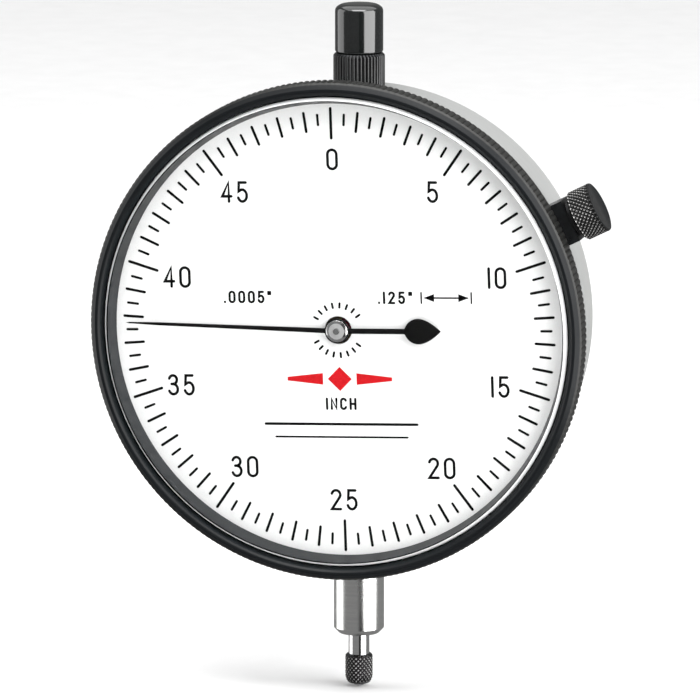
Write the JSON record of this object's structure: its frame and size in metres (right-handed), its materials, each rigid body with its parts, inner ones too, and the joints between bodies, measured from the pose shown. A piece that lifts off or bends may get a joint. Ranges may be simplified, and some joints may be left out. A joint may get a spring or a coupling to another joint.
{
  "type": "dial indicator",
  "caption": "Round-dial plunger indicator: spindle and rack drive a geared hand over a rotating bezel with clamp, straight stem below and lug back.",
  "frame": {"origin": "middle of the mounting stem, on the spindle axis", "axes": "+Z along the spindle from the contact point to the cap, +X to the right of the dial as read, -Y the way the dial faces"},
  "size_m": [0.0975, 0.0466, 0.1305],
  "materials": {
    "ground_steel": "ground and finely polished round",
    "bronze": "reamed bronze",
    "polished_steel": "polished steel",
    "black_oxide": "black oxide on knurled steel",
    "tip_steel": "lapped hard tip",
    "black_collar": "black satin, straight serrations",
    "gloss_black": "glossy black moulding",
    "satin_case": "satin grey enamel",
    "spring_steel": "drawn spring steel",
    "screw_steel": "turned steel",
    "black_bezel": "black satin with milled rim",
    "crystal_clear": "clear, bevelled rim",
    "black_spacer": "matte black",
    "dial_white": "white enamel with black print",
    "movement_brass": "grained brass",
    "gear_brass": "machined brass",
    "jewel_red": "polished synthetic ruby",
    "hand_black": "black lacquer",
    "black_clamp": "black satin, knurled"
  },
  "bodies": {
    "case": {"lower_stem": "ground_steel", "stem_bushings": "bronze", "upper_collar": "black_collar", "upper_bushing": "bronze", "dust_cap": "gloss_black", "case_shell": "satin_case", "bezel_spring_wire": "spring_steel", "back_cover": "satin_case", "back_cover_screws": "screw_steel", "back_lug": "satin_case", "lug_screws": "screw_steel", "front_plate": "movement_brass", "front_plate_screws": "screw_steel", "lower_plate": "movement_brass", "plate_pillars": "movement_brass", "pillar_screws": "screw_steel", "rear_cock": "movement_brass", "rear_cock_screw": "screw_steel", "front_jewels": "jewel_red", "centre_jewel": "jewel_red", "lower_jewels": "jewel_red", "rear_jewel": "jewel_red", "hairspring": "spring_steel", "hairspring_stud": "gear_brass", "guide_block": "movement_brass", "return_spring": "spring_steel", "spring_post": "screw_steel", "clamp_block": "black_clamp", "clamp_block_screws": "screw_steel"},
    "spindle": {"spindle": "polished_steel", "contact_point": "black_oxide", "contact_tip": "tip_steel", "rack_sleeve": "polished_steel", "nonshock_spring": "spring_steel", "spring_seat_collar": "polished_steel", "guide_pin": "polished_steel", "spindle_arm": "movement_brass", "arm_screw": "screw_steel"},
    "bezel": {"bezel_ring": "black_bezel", "crystal": "crystal_clear", "crystal_spacer": "black_spacer", "dial_face": "dial_white", "dial_snap_ring": "spring_steel"},
    "rack_pinion": {"rack_pinion_arbor": "polished_steel", "drive_gear": "gear_brass"},
    "centre_arbor": {"centre_pinion_arbor": "polished_steel", "hand": "hand_black", "hand_hub": "polished_steel"},
    "takeup": {"takeup_gear": "gear_brass", "takeup_arbor": "polished_steel", "hairspring_collet": "gear_brass"},
    "clamp_shoe": {"clamp_shoe": "gear_brass"},
    "clamp_screw": {"clamp_screw": "black_oxide", "clamp_knob": "black_clamp"}
  },
  "joints": [
    {"name": "spindle_slide", "type": "slide", "parent": "case", "child": "spindle", "axis": [0, 0, 1], "range_m": [0, 0.00317], "stiffness_N_per_m": 40, "springref_m": -0.02, "deforming": ["return_spring"]},
    {"name": "rack_pinion_spin", "type": "hinge", "parent": "case", "child": "rack_pinion", "pos_m": [-0.00321, 0, 0.06175], "axis": [0, 1, 0], "range_deg": [-151, 1]},
    {"name": "hand_spin", "type": "hinge", "parent": "case", "child": "centre_arbor", "pos_m": [0, 0, 0.05175], "axis": [0, 1, 0], "range_deg": [-2, 902]},
    {"name": "takeup_spin", "type": "hinge", "parent": "case", "child": "takeup", "pos_m": [0.00737, 0, 0.04659], "axis": [0, 1, 0], "range_deg": [-181, 1]},
    {"name": "bezel_turn", "type": "hinge", "parent": "case", "child": "bezel", "pos_m": [0, 0, 0.05175], "axis": [0, 1, 0], "continuous": true},
    {"name": "clamp_shoe_slide", "type": "slide", "parent": "case", "child": "clamp_shoe", "axis": [-0.8934, 0, -0.4493], "range_m": [0, 0.00025]},
    {"name": "clamp_screw_turn", "type": "hinge", "parent": "clamp_shoe", "child": "clamp_screw", "pos_m": [0.04467, -0.0126, 0.07422], "axis": [-0.8934, 0, -0.4493], "range_deg": [-1, 181]}
  ],
  "couplings": [
    {"joint": "rack_pinion_spin", "follows": "spindle_slide", "rad_per_m": -824.57},
    {"joint": "hand_spin", "follows": "spindle_slide", "rad_per_m": 4947.4},
    {"joint": "takeup_spin", "follows": "spindle_slide", "rad_per_m": -989.48},
    {"joint": "clamp_screw_turn", "follows": "clamp_shoe_slide", "rad_per_m": 12566}
  ]
}
